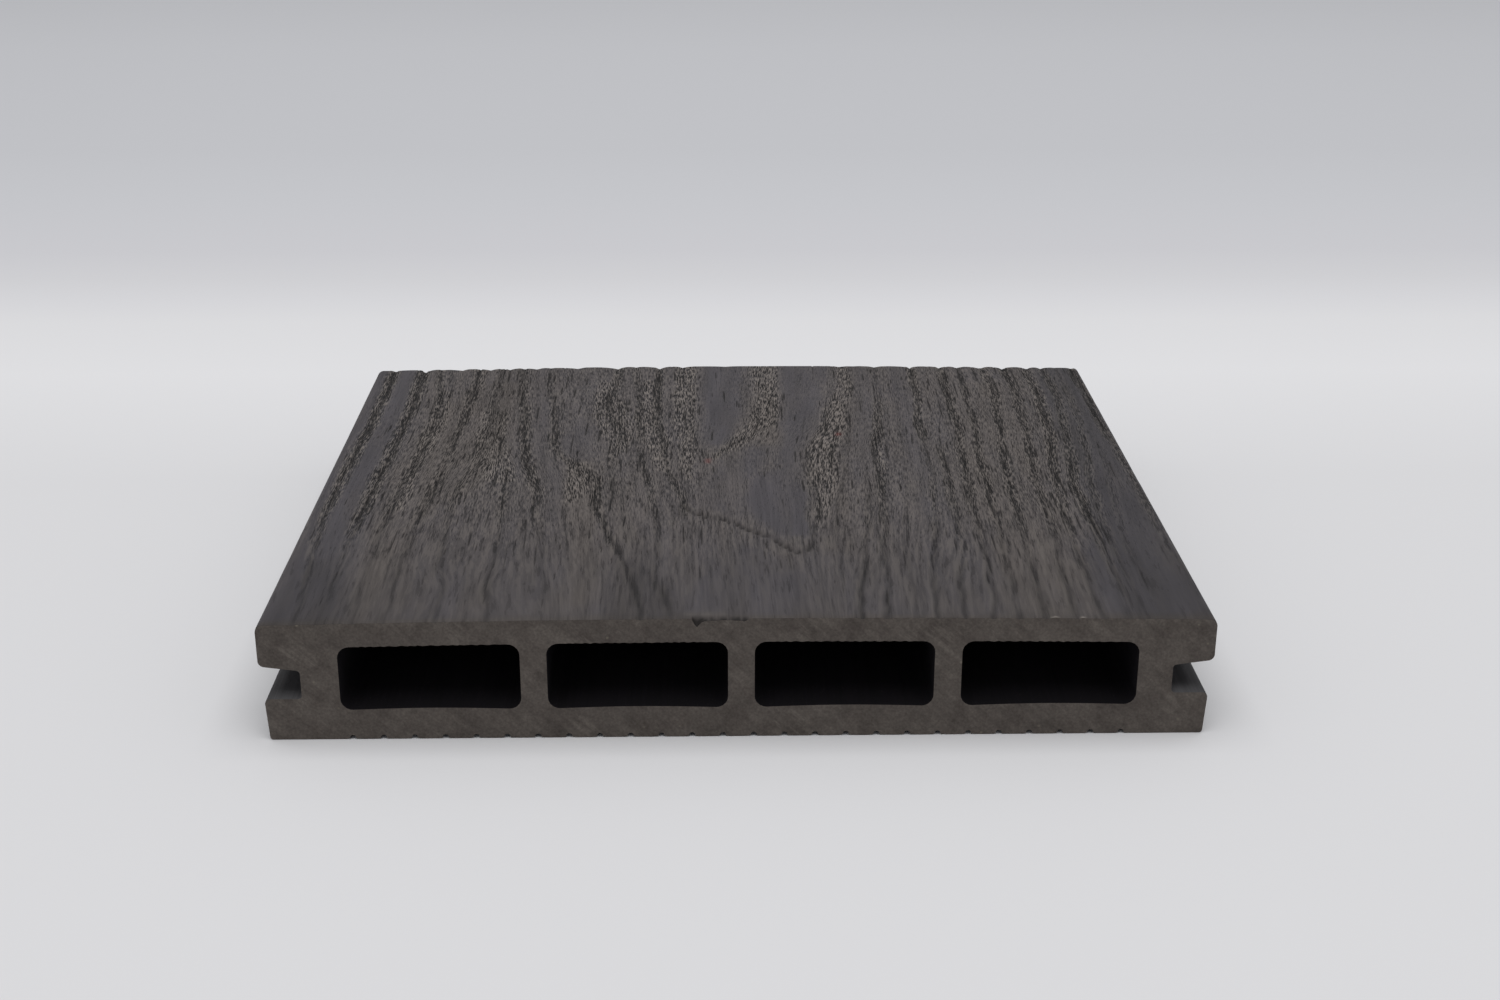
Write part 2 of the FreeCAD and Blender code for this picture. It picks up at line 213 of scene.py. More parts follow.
# Bands that are pitted all over, as (y, middle x, half-width) points
ROUGH_BANDS = (
    ((58, -8, 1), (62, -8.5, 1.5), (75, -8, 2), (88, -9, 2.6), (124, -9, 2.6)),
    ((68, -4, 0.8), (72, -2, 1.6), (80, 2.5, 2.6), (88, 6, 3), (100, 7.2, 2.8), (124, 7, 2.9)),
    ((33, 13.4, 0.6), (40, 14.5, 1.5), (50, 15.5, 2), (60, 16, 3), (74, 16.5, 2.8), (85, 19, 2.8),
     (95, 20, 2.4), (110, 23, 2), (124, 23.5, 1.5)),
    ((72, -20, 1), (80, -21, 3), (88, -22, 4), (95, -23, 4), (105, -24.5, 2.6), (116, -25, 1.6)),
    ((62, -13, 1), (70, -13, 2), (80, -14.5, 3.5), (90, -16, 3), (115, -16, 2)),
    ((48, -28, 1.5), (60, -27, 3), (68, -28, 2)),
    ((58, -41, 3), (70, -43.5, 4), (80, -45, 3), (98, -46, 3)),
    ((85, -51, 1), (98, -51, 1.6), (124, -51, 1.4)),
    ((45, -57.5, 1.4), (70, -57, 1.6), (90, -56, 2.4), (110, -57, 1.6)),
    ((60, 26.5, 1), (80, 27.2, 1.4), (95, 28.8, 1)),
)

# Calm zones, pressed smooth and bluer than the rest, as (y, middle x, half-width) points
CALM_ZONES = (
    ((0, -67, 5.6), (40, -67, 5.4), (60, -67.5, 5.4), (124, -67.5, 5.6)),
    ((76, -3, 1.2), (82, -2.8, 2.5), (92, -1.6, 3.4), (108, -1.6, 4), (124, -1.6, 4.4)),
    ((32, 10, 2), (36, 9, 3.5), (42, 7.5, 5.2), (50, 7.2, 5.8), (60, 8, 4), (64, 10.4, 2), (75, 11, 2),
     (85, 12.5, 3), (95, 13.5, 3.6), (110, 14.5, 4), (124, 15.5, 4.8)),
    ((0, 65.5, 9.5), (20, 66, 9), (35, 66.5, 7.5), (45, 67, 6.5), (60, 67.5, 6.5), (80, 68, 5.5),
     (100, 66.5, 4.5), (124, 67, 4)),
)
FAINT_CALM_ZONES = (
    ((68, -27.5, 1), (72, -29, 2.8), (78, -29, 3.2), (85, -28.5, 2), (92, -28, 0.6)),
    ((40, -30, 1), (55, -31, 1.8), (72, -34.8, 1.5), (100, -36.5, 1.3), (124, -38, 1.2)),
    ((0, 2, 10), (14, 3, 9), (22, 3, 5), (28, 2, 1)),
    ((35, 32.5, 1.5), (50, 33, 2), (75, 33.5, 2), (95, 34, 1.5), (124, 35, 2)),
    ((55, 22, 1), (85, 24.7, 1.2), (110, 27, 1.4), (124, 27.5, 1.6)),
    ((41, 0, 2), (46, -2, 4), (56, -2, 4), (66, 2, 4), (76, 6, 2)),
)

# Zones of browner fibre and darker zones, as (y, middle x, half-width) points
BROWN_ZONES = (
    ((0, -58, 3), (40, -57, 4), (60, -53, 9), (80, -50, 9), (100, -48, 7), (115, -46, 4)),
    ((5, -24.5, 3), (30, -25, 2.5), (50, -26.5, 3), (68, -27, 2)),
    ((30, -18, 2), (45, -20, 2), (60, -21.5, 1.5)),
    ((75, 5, 3), (90, 6, 3.4), (112, 7, 2.5)),
    ((17, 7, 3), (22, 6, 4), (30, 8, 3.5)),
    ((25, 16, 3), (50, 16.5, 3.5), (70, 17, 3.5), (85, 19.5, 2.5), (100, 20.5, 2)),
    ((0, 48, 7), (40, 49, 7), (60, 48, 7), (80, 49, 7), (100, 50, 6), (115, 51, 4)),
)
DARK_ZONES = (
    ((0, 66.5, 9), (35, 67, 8), (60, 68.5, 7.5), (90, 68, 6), (124, 68, 5)),
    ((0, -66, 5), (12, -66, 4.5), (25, -67, 2.5)),
    ((0, -14, 6), (10, -14.5, 5), (22, -16.5, 2)),
)

# Patches of raised fibre, painted pale as highlights, as (x, y, half-width, half-length)
LIGHT_PATCHES = (
    (-10.5, 38, 0.9, 2.5), (-44.5, 61, 1.1, 2.5), (10, 31, 1.1, 1.3), (-18, 30, 0.8, 5), (49.5, 26, 0.6, 9),
    (15.3, 30, 0.5, 2),
)

# Long slits that stand out singly, as (x, y, half-length)
LONG_SLITS = (
    (-32.7, 81, 4), (-27.4, 85.6, 4), (-21.2, 46.6, 3.8), (-21.5, 56, 3.6), (-14.3, 117.5, 2.2),
    (-3.7, 81, 3), (-40.2, 85.5, 3.4), (-11.2, 117, 3), (-31, 108, 3), (-29.4, 97, 3.4), (-25.8, 100, 2.4),
    (-24.2, 108, 2.2), (-35.6, 117, 2.6), (-18.6, 39, 2.6), (1.2, 100, 2), (28.6, 87, 4), (36.4, 88.5, 2.5),
    (38.6, 67, 6), (38.3, 57, 2.4), (42.1, 67.5, 3.5), (43.9, 92, 1.8), (45.8, 80, 2.4), (47.6, 116, 3),
    (60.4, 61.5, 2.2), (62.4, 46, 2), (66.4, 81, 1.4), (61.7, 109, 3), (56.5, 117, 3),
)
SLIT_HALF = 0.2
SLIT_DEPTH = 0.2
SLIT_LEAN = 0.02

# The grain is shallow and soft towards the front, and crisp from here on
CRISP_FROM = 2
CRISP_TO = 60

# Widths over which the zones fade out, and how calm, rough or brown they make the top
CALM_EDGE = 3.6
ROUGH_EDGE = 2.4
TINT_EDGE = 5.0
FAINT_CALM = 0.5
FIELD_ROUGHNESS = 0.44
CALM_SMOOTHING = 0.95
WARM_BROWN = 0.35
CALM_BROWN = 0.5
ROUGH_FRONT = 0.24

# Heights and half-widths of the grain lines, and their change from front to back
BAND_DEPTHS = (0.08, 0.14)
LINE_REACH_FRONT = 0.55
VALLEY_POWER = 1.4
CREASE_HALF = 0.52
CREASE_DEPTH = 0.12
CREASE_NARROWING = 0.35
CREASE_FADING = 0.3
RIDGE_GAP = 0.75
RIDGE_HALF = 0.36
RIDGE_LIFT = 0.05
TORN_REACH = 1.6
TORN_POWER = 3
STEEPEST_STRETCH = 0.05
NOTCH_WAVES = 0.5

# The tongue's tip: a crease along its edge, painted dark as the step's shadow, a step down from it, and a
# rough patch below
TIP_LINE_GAP = 0.25
TIP_LINE_HALF = 0.55
TIP_LINE_DEPTH = 0.3
TIP_CREASE = 1.4
TIP_STEP = 0.16
TIP_STEP_REACH = 3.0
TIP_PATCH_GAP = 3.0
TIP_PATCH_HALF = 3.5
TIP_PATCH_TOP = 0.5
TIP_PATCH_SHARE = 0.5
TIP_MIDDLE = 1.5
TIP_HALF = 11

# Pores, with half-widths and half-lengths, and the share of the tries that each kind of place takes
PIT_SEED = 31
PIT_TRIES = 52000
PIT_LENGTH = 1.9
PIT_SPREAD = 0.55
PIT_WIDTHS = (0.14, 0.2)
PIT_DEPTHS = (0.08, 0.24)
PIT_LEAN = 0.35
PIT_SIDE_GAP = 0.8
PIT_END_GAP = 3.0
PIT_FIELD_SHARE = 0.018
PIT_BAND_SHARE = 0.025
PIT_LINE_SHARE = 0.08
PIT_SHARE_FRONT = 0.4
PIT_DEPTH_FRONT = 0.5

# Fine relief of the fibres, and how far the top lies below the smooth crown
FIBRE_HEIGHT = 0.012
BROWN_FIBRE_HEIGHT = 0.03
TOP_SINK = 0.02

# What darkens the top: painted shade in the valleys and towards the front, where the light falls off, and the
# darker zones and the front edge's strip
VALLEY_SHADE = 0.7
ZONE_SHADE = 0.65
EDGE_SHADE = 0.35
FRONT_SHADE = 0.15

# Seeded noises of the grain: a middle value, then waves as (height, cell across, cell along, seed)
WAVES_ACROSS = (0, (0.35, 4, 7, 11), (0.2, 1.3, 3, 12))
WAVES_ALONG = (0, (0.6, 2, 5, 13))
CREASE_BREAKS = (0.8, (0.7, 1.5, 6, 14))
RIDGE_BREAKS = (0.35, (1.1, 2, 9, 15))
TIP_BREAKS = (0.75, (0.7, 0.9, 1.5, 16))
BROWN_PATCHES = (0.5, (0.175, 4, 22, 21), (0.175, 1.6, 9, 22))
CALM_BREAKS = (0.85, (0.3, 3, 12, 23))
FIBRES = (0, (0.6, 0.6, 7, 41), (0.5, 1.3, 14, 42))
TORN_FIBRES = (0, (0.06, 0.36, 3, 43))
FRONT_STRIP = (1.7, (0.68, 4, 1000, 44))
RIM_BREAKS = (0.5, (0.8, 0.8, 4, 51))
CHIP_GRIT = (0.9, (0.5, 0.5, 0.6, 52))


def smooth_step(value):
    """Eases a value from 0 to 1."""
    share = np.clip(value, 0.0, 1.0)
    return share * share * (3 - 2 * share)


def bell(value):
    """Falls from 1 at zero to nothing on both sides."""
    return np.exp(-np.square(value))


def along_points(points, y, column=1):
    """One column of listed points, read between them at y."""
    table = np.array(points, float)
    return np.interp(y, table[:, 0], table[:, column])


def eased_course(points, rows):
    """A grain line's x at each row, with its bends rounded."""
    offsets = np.linspace(-BEND_REACH, BEND_REACH, BEND_READS)
    weights = np.hanning(len(offsets) + 2)[1:-1]
    reads = [along_points(points, rows + offset) for offset in offsets]
    return np.average(reads, axis=0, weights=weights)


def edge_distance(points, x, y):
    """Distance to a chain of points, positive on the left of its direction."""
    best = np.full(x.shape, 1e9)
    signed = np.zeros(x.shape)
    for (x0, y0), (x1, y1) in zip(points, points[1:]):
        dx, dy = x1 - x0, y1 - y0
        share = np.clip(((x - x0) * dx + (y - y0) * dy) / (dx * dx + dy * dy), 0, 1)
        gap = np.hypot(x - x0 - share * dx, y - y0 - share * dy)
        side = np.sign(dx * (y - y0) - dy * (x - x0))
        nearer = gap < best
        best = np.where(nearer, gap, best)
        signed = np.where(nearer, gap * side, signed)
    return signed


class Grain:
    """The pressed wood grain: heights and finish masks over the top's grid of columns and rows."""

    def __init__(self, columns, rows):
        self.columns, self.rows = columns, rows
        self.x, self.y = np.meshgrid(columns, rows)
        self.end_gap = np.minimum(self.y, LENGTH - self.y)
        self.wavy_x = self.x + self.noise(*WAVES_ACROSS)
        self.wavy_y = self.y + self.noise(*WAVES_ALONG)
        self.back = smooth_step((self.y - CRISP_FROM) / (CRISP_TO - CRISP_FROM))
        self.courses = [eased_course(line[0], rows) for line in GRAIN_LINES]
        self.flow()
        self.zones()
        self.lines()
        self.heights()

    def noise(self, middle, *waves):
        """Seeded smooth noise over the grid: a middle value with waves about it."""
        total = middle
        for height, cell_x, cell_y, seed in waves:
            across = (self.x - self.x.min()) / cell_x
            along = (self.y - self.y.min()) / cell_y
            table = np.random.default_rng(seed).uniform(-1, 1, (int(along.max()) + 2, int(across.max()) + 2))
            column = np.floor(across).astype(int)
            row = np.floor(along).astype(int)
            share_x = smooth_step(across - column)
            share_y = smooth_step(along - row)
            near = table[row, column] * (1 - share_x) + table[row, column + 1] * share_x
            far = table[row + 1, column] * (1 - share_x) + table[row + 1, column + 1] * share_x
            total = total + height * (near * (1 - share_y) + far * share_y)
        return total

    def inside(self, zones, edge):
        """How far inside any of the zones each place lies, from 0 outside to 1, with wavy edges."""
        x, y = self.wavy_x, self.wavy_y
        share = np.zeros_like(x)
        for zone in zones:
            first = zone[0][0] if zone[0][0] > 0 else -edge
            last = zone[-1][0] if zone[-1][0] < LENGTH else LENGTH + edge
            side_gap = along_points(zone, y, column=2) - np.abs(x - along_points(zone, y))
            side, front, back = (smooth_step(gap / edge + 0.5) for gap in (side_gap, y - first, last - y))
            share = np.maximum(share, side * front * back)
        return share

    def rising(self, front):
        """A factor that rises from its value at the front to 1 where the grain is crisp."""
        return front + (1 - front) * self.back

    def across_grain(self, courses):
        """Each place's measure across the board, even along each course, and the courses' own measures."""
        edge = np.full(len(self.rows), HALF_WIDTH)
        courses = np.array([-edge, *courses, edge])
        even = courses.mean(axis=1)
        across = np.array([np.interp(self.columns, course, even) for course in courses.T])
        return across, even, courses[:, -1]

    def flow(self):
        """Where the grain through each place meets the back edge, its lean, and how its fibres run."""
        across, even, ends = self.across_grain(self.courses)
        self.at_back = np.interp(across, even, ends)
        slope_y = np.gradient(across, self.rows, axis=0)
        slope_x = np.gradient(across, self.columns, axis=1)
        self.lean = PIT_LEAN * np.clip(-slope_y / np.maximum(slope_x, STEEPEST_STRETCH), -1, 1)
        left, right = self.courses[:len(LEFT_LINES)], self.courses[-len(RIGHT_LINES):]
        fibres = [*left, eased_course(FIBRE_COURSE, self.rows), *right]
        self.across = self.across_grain(fibres)[0] * MM

    def lobes(self):
        """Depth of the notches between the rounded lobes that run out at the back edge."""
        deepest = np.zeros_like(self.x)
        for x, depth, left_reach, right_reach in BACK_NOTCHES:
            side = self.at_back + NOTCH_WAVES * (self.wavy_x - self.x) - x
            reach = np.where(side < 0, left_reach, right_reach)
            deepest = np.maximum(deepest, depth * np.clip(1 - np.abs(side) / reach, 0, 1) ** 2)
        return deepest * smooth_step((self.y - LOBES_FROM) / (LENGTH - LOBES_FROM))

    def zones(self):
        """Where the top is calm, pitted all over or dark, and the share of brown fibre."""
        faint = FAINT_CALM * self.inside(FAINT_CALM_ZONES, CALM_EDGE)
        calm = np.maximum(self.inside(CALM_ZONES, CALM_EDGE), faint)
        self.calm = calm * np.clip(self.noise(*CALM_BREAKS), 0, 1)
        self.tip_gap = edge_distance(TONGUE_TIP, self.wavy_x, self.wavy_y)
        below_tip = bell((self.tip_gap + TIP_PATCH_GAP) / TIP_PATCH_HALF) * (self.tip_gap < TIP_PATCH_TOP)
        below_tip *= np.abs(self.x - TIP_MIDDLE) < TIP_HALF
        self.band = np.maximum(self.inside(ROUGH_BANDS, ROUGH_EDGE), TIP_PATCH_SHARE * below_tip)
        self.rough = np.maximum(self.band, FIELD_ROUGHNESS * (1 - CALM_SMOOTHING * self.calm))
        tint = WARM_BROWN * self.inside(BROWN_ZONES, TINT_EDGE) - CALM_BROWN * self.calm
        self.brown = np.clip(tint + self.noise(*BROWN_PATCHES), 0, 1)
        self.dusk = self.inside(DARK_ZONES, TINT_EDGE)

    def lines(self):
        """Valleys and thin creases, painted dark as shade, pale ridges painted as highlights, and torn edges
        along the grain lines.
        """
        marks = np.zeros((4, *self.x.shape))
        broken = smooth_step(self.noise(*CREASE_BREAKS)) * (1 - CREASE_FADING * self.back)
        lifted = smooth_step(self.noise(*RIDGE_BREAKS))
        crease_half = CREASE_HALF * (1 - CREASE_NARROWING * self.back)
        for (_, strengths, half_width), course in zip(GRAIN_LINES, self.courses):
            stretch = np.hypot(1, np.gradient(course, self.rows))[:, None]
            gap = (self.wavy_x - course[:, None]) / stretch
            reach = half_width * self.rising(LINE_REACH_FRONT)
            valley = np.exp(-((np.abs(gap) / reach) ** VALLEY_POWER))
            crease = broken * bell(gap / crease_half)
            ridge = lifted * bell((gap + RIDGE_GAP) / RIDGE_HALF)
            torn = np.exp(-((np.abs(gap) / (TORN_REACH * reach)) ** TORN_POWER))
            strength = along_points(strengths, self.rows)[:, None]
            marks = np.maximum(marks, strength * np.array([valley, crease, ridge, torn]))
        self.valley, self.crease, self.ridge, self.torn_line = marks
        for x, y, half_x, half_y in LIGHT_PATCHES:
            patch = bell((self.wavy_x - x) / half_x) * bell((self.wavy_y - y) / half_y)
            self.ridge = np.maximum(self.ridge, patch)

    def press_pit(self, depth, x, y, half_width, half_length, deep, lean):
        """Presses one pit into the depths."""
        side = half_width + half_length
        first, last = np.searchsorted(self.rows, (y - half_length, y + half_length))
        left, right = np.searchsorted(self.columns, (x - side, x + side))
        window = (slice(first, last + 1), slice(left, right + 1))
        along = self.y[window] - y
        across = self.x[window] - x - lean * along
        shape = np.clip(1 - (across / half_width) ** 2 - (along / half_length) ** 4, 0, 1)
        depth[window] = np.maximum(depth[window], deep * shape)

    def pits(self):
        """Depth of the torn pores, thickest in the rough bands and along the grain lines."""
        depth = np.zeros_like(self.x)
        draw = np.random.default_rng(PIT_SEED)
        places_x = draw.uniform(-HALF_WIDTH + PIT_SIDE_GAP, HALF_WIDTH - PIT_SIDE_GAP, PIT_TRIES)
        places_y = draw.uniform(0, LENGTH, PIT_TRIES)
        chance = draw.uniform(0, 1, PIT_TRIES)
        lengths = draw.lognormal(math.log(PIT_LENGTH), PIT_SPREAD, PIT_TRIES)
        widths = draw.uniform(*PIT_WIDTHS, PIT_TRIES)
        deeps = draw.uniform(*PIT_DEPTHS, PIT_TRIES)
        step_x = np.searchsorted(self.columns, places_x).clip(1, len(self.columns) - 1)
        step_y = np.searchsorted(self.rows, places_y).clip(1, len(self.rows) - 1)
        share = PIT_FIELD_SHARE * (1 - self.calm) + PIT_BAND_SHARE * self.band
        share += PIT_LINE_SHARE * self.torn_line**2
        wanted = (share * self.rising(PIT_SHARE_FRONT))[step_y, step_x]
        end_gap = np.minimum(places_y, LENGTH - places_y)
        deeps *= self.rising(PIT_DEPTH_FRONT)[step_y, step_x] * smooth_step(end_gap / PIT_END_GAP)
        for i in np.flatnonzero(chance < wanted):
            lean = self.lean[step_y[i], step_x[i]]
            self.press_pit(depth, places_x[i], places_y[i], widths[i], lengths[i], deeps[i], lean)
        for x, y, half_length in LONG_SLITS:
            self.press_pit(depth, x, y, SLIT_HALF, half_length, SLIT_DEPTH, SLIT_LEAN)
        return depth

    def heights(self):
        """Relief of the top in millimetres, nearly all of it below the smooth crown."""
        band_depth = np.interp(self.back, (0, 1), BAND_DEPTHS)
        relief = RIDGE_LIFT * self.ridge - band_depth * self.valley - CREASE_DEPTH * self.crease
        relief -= self.lobes()
        tip_line = bell((self.tip_gap + TIP_LINE_GAP) / TIP_LINE_HALF)
        tip_line *= np.clip(self.noise(*TIP_BREAKS), 0, 1)
        below_tip = np.exp(-np.clip(-self.tip_gap, 0, None) / TIP_STEP_REACH) * (self.tip_gap < 0)
        relief -= TIP_LINE_DEPTH * tip_line + TIP_STEP * below_tip
        relief += (FIBRE_HEIGHT + BROWN_FIBRE_HEIGHT * self.brown) * self.noise(*FIBRES)
        self.rough = np.maximum(self.rough, self.torn_line) * self.rising(ROUGH_FRONT)
        relief += self.rough * smooth_step(self.end_gap / PIT_END_GAP) * self.noise(*TORN_FIBRES)
        pit_depth = self.pits()
        self.relief = relief - pit_depth - TOP_SINK
        self.cavity = np.clip(pit_depth / PIT_DEPTHS[1], 0, 1)
        # A darker, browner strip of wavy depth along the front edge
        front_edge = bell(self.y / self.noise(*FRONT_STRIP))
        self.brown = np.maximum(self.brown, front_edge)
        # Painted shade: the valleys and the front of the top, where the light falls off, are darkened; the
        # dark zones and the front strip are darkened too
        shade = VALLEY_SHADE * self.valley + ZONE_SHADE * self.dusk
        self.shade = np.clip(shade + EDGE_SHADE * front_edge + FRONT_SHADE * (1 - self.back), 0, 1)
        # The creases and the tongue tip's line are painted dark as shade
        self.crease = np.maximum(self.crease, TIP_CREASE * tip_line)


# Marks at single places of the top: a chip of the front edge as (x, depth) points, painted dark as torn fibre
# and painted shadow, with a pale rim behind it, two burrs as (x, half-width, height) with painted highlights
# and two red specks as (x, y, radius, strength)
CHIP = (
    (-7.1, 0), (-6.8, 0.5), (-6.5, 1.1), (-6.2, 1.35), (-5.9, 1), (-5.5, 0.6), (-5, 0.4), (-4.4, 0.34),
    (-3.6, 0.34), (-2.4, 0.26), (-1.2, 0.26), (-0.5, 0.34), (0.3, 0.38), (0.9, 0.5), (1.4, 0.25), (1.8, 0),
)
CHIP_FLOOR = 0.1
CHIP_REACH = 0.9
CHIP_DARK_DEPTH = 0.36
CHIP_DARKNESS = 0.88
RIM_MIDDLE = -5
RIM_REACH = 4.0
RIM_FADE = 2
RIM_GAP = 0.8
RIM_HALF = 0.7
RIM_PALENESS = 0.2
BURRS = ((47.8, 0.9, 0.16), (52, 0.6, 0.1))
BURR_REACH = 0.6
RED_SPECKS = ((-4.5, 68, 0.55, 0.5), (20, 82, 0.55, 0.45))
SPECK_STRETCH = 1.6
SPECK_FILLING = 0.8
EDGE_WEAR = 0.12
EDGE_WEAR_REACH = 0.35


def edge_marks(grain):
    """Drops the front edge's chip and paints it dark as torn fibre and shadow, wears both ends a little,
    lifts the burrs with painted highlights and sets the specks.
    """
    wall = np.clip((CHIP_REACH - grain.y) / (CHIP_REACH - CHIP_FLOOR), 0, 1)
    chip = along_points(CHIP, grain.x) * wall
    grain.relief -= chip
    # The chip painted dark, partly torn fibre, partly painted shadow
    grain.torn = CHIP_DARKNESS * smooth_step(chip / CHIP_DARK_DEPTH * grain.noise(*CHIP_GRIT))
    grain.relief -= EDGE_WEAR * np.clip(1 - grain.end_gap / EDGE_WEAR_REACH, 0, 1) ** 2
    rim = bell((grain.y - CHIP_REACH - RIM_GAP) / RIM_HALF)
    rim *= smooth_step((RIM_REACH - np.abs(grain.x - RIM_MIDDLE)) / RIM_FADE)
    grain.pale = RIM_PALENESS * rim * smooth_step(grain.noise(*RIM_BREAKS))
    # Burrs lifted and painted pale as highlights; the rim behind the chip is paler fibre
    for x, half, lift in BURRS:
        burr = np.clip(1 - np.abs(grain.x - x) / half, 0, 1) * np.clip(1 - grain.y / BURR_REACH, 0, 1)
        grain.relief += lift * burr
        grain.pale = np.maximum(grain.pale, burr)
    grain.red = np.zeros_like(grain.x)
    for x, y, radius, strength in RED_SPECKS:
        speck = bell(np.hypot(grain.x - x, (grain.y - y) / SPECK_STRETCH) / radius)
        grain.red = np.maximum(grain.red, strength * speck)
        grain.cavity *= 1 - SPECK_FILLING * speck


def crown_height(x, drop=0.0):
    """Height of the crowned top over x, or of an even surface that far below it."""
    return CROWN_CENTRE + np.sqrt((CROWN_RADIUS - drop) ** 2 - np.square(x))


def top_profile():
    """Section points of the top from its left side over the crown to its right side, with their normals."""
    centre_x = HALF_WIDTH - TOP_EDGE_RADIUS
    inner_radius = CROWN_RADIUS - TOP_EDGE_RADIUS
    tilt = math.asin(centre_x / inner_radius)
    centre_z = CROWN_CENTRE + inner_radius * math.cos(tilt)
    crown_end = centre_x + TOP_EDGE_RADIUS * math.sin(tilt)
    crown_x = np.linspace(-crown_end, crown_end, CROWN_STEPS + 1)
    crown = np.column_stack([crown_x, crown_height(crown_x)])
    crown_normal = (crown - [0, CROWN_CENTRE]) / CROWN_RADIUS
    angles = np.linspace(math.pi / 2 - tilt, 0, EDGE_STEPS + 1)[1:]
    round_normal = np.column_stack([np.cos(angles), np.sin(angles)])
    right = np.array([centre_x, centre_z]) + TOP_EDGE_RADIUS * round_normal
    points = np.vstack([right[::-1] * MIRROR, crown, right])
    normals = np.vstack([round_normal[::-1] * MIRROR, crown_normal, round_normal])
    return points, normals


def corner_arc(before, corner, after, radius):
    """Points of the round that joins two straight runs at a corner."""
    here = np.array(corner, float)
    back = np.array(before, float) - here
    ahead = np.array(after, float) - here
    back /= np.linalg.norm(back)
    ahead /= np.linalg.norm(ahead)
    half_angle = math.acos(np.clip(back @ ahead, -1, 1)) / 2
    bisector = (back + ahead) / np.linalg.norm(back + ahead)
    centre = here + bisector * radius / math.sin(half_angle)
    reach = radius / math.tan(half_angle)
    start = here + back * reach - centre
    end = here + ahead * reach - centre
    arms = [start * (1 - share) + end * share for share in np.linspace(0, 1, CORNER_STEPS + 1)]
    return np.array([centre + arm * radius / np.linalg.norm(arm) for arm in arms])


def base_row():
    """Section points of the base from right to left: round grooves and the bulged lands between them."""
    outer = HALF_WIDTH - FOOT_SETBACK - FOOT_DRAFT - GROOVE_MARGIN
    middles = np.linspace(outer, -outer, GROOVES)
    half = GROOVE_WIDTH / 2
    shoulder = np.array([(half + LAND_SHOULDER, 0.0), (half + LAND_SHOULDER / 2, LAND_BULGE / 4)])
    angles = np.linspace(0, math.pi, GROOVE_STEPS)
    rise = LAND_BULGE + (GROOVE_DEPTH - LAND_BULGE) * np.sin(angles) ** GROOVE_FULLNESS
    groove = np.column_stack([half * np.cos(angles), rise])
    one = np.vstack([shoulder, groove, shoulder[::-1] * MIRROR])
    return np.vstack([one + [middle, 0.0] for middle in middles])


def outline_chain():
    """Section points from the top's right side down, along the base and up to its left side."""
    foot_x = HALF_WIDTH - FOOT_SETBACK
    root_x = HALF_WIDTH - SLOT_DEPTH
    corners = (
        (HALF_WIDTH, THICKNESS), (HALF_WIDTH, SLOT_FLOOR + SLOT_MOUTH), (root_x, SLOT_FLOOR + SLOT_ROOT),
        (root_x, SLOT_FLOOR), (foot_x, SLOT_FLOOR), (foot_x - FOOT_DRAFT, 0.0), (0.0, 0.0),
    )
    radii = (LIP_CORNER_RADIUS, SLOT_ROOT_RADIUS, SLOT_ROOT_RADIUS, FOOT_CORNER_RADIUS, BASE_CORNER_RADIUS)
    side = np.vstack([corner_arc(*corners[i:i + 3], radius) for i, radius in enumerate(radii)])
    return np.vstack([side, base_row(), side[::-1] * MIRROR])


def chamber_loop(index):
    """Section points of one chamber, clockwise from the front, with its rippled roof and bulged floor."""
    field_half = HALF_WIDTH - SLOT_DEPTH - SIDE_WALL
    width = (2 * field_half - (CHAMBERS - 1) * WEB_WALL) / CHAMBERS
    left_drift, right_drift = CHAMBER_DRIFTS[index]
    left = -field_half + index * (width + WEB_WALL) + left_drift
    right = left + width - left_drift + right_drift
    corners = [(left, BOTTOM_WALL), (left, float(crown_height(left, TOP_WALL))),
               (right, float(crown_height(right, TOP_WALL))), (right, BOTTOM_WALL)]
    rounds = [corner_arc(corners[i - 1], corners[i], corners[(i + 1) % 4], CHAMBER_RADIUS) for i in range(4)]
    start = left + CHAMBER_RADIUS
    reach = right - CHAMBER_RADIUS - start
    span = np.linspace(0, 1, ROOF_STEPS + 1)[1:-1]
    inner = start + reach * span
    draw = np.random.default_rng(CHAMBER_SEED + index)
    waves = np.cumsum(draw.uniform(*ROOF_PITCH_SWING, len(inner))) * (inner[1] - inner[0]) / ROOF_RIPPLE_PITCH
    ripple = ROOF_RIPPLE * np.sin(2 * math.pi * waves) * draw.uniform(*ROOF_RIPPLE_SWING, len(inner))
    ripple *= smooth_step(ROOF_RIPPLE_FADE * span) * smooth_step(ROOF_RIPPLE_FADE * (1 - span))
    roof = np.column_stack([inner, crown_height(inner, TOP_WALL) + ripple])
    floor_span = np.linspace(1, 0, FLOOR_STEPS + 1)[1:-1]
    bulge = FLOOR_BULGE * np.sin(math.pi * floor_span)
    floor = np.column_stack([start + reach * floor_span, BOTTOM_WALL + bulge])
    return np.vstack([rounds[0], rounds[1], roof, rounds[2], rounds[3], floor])


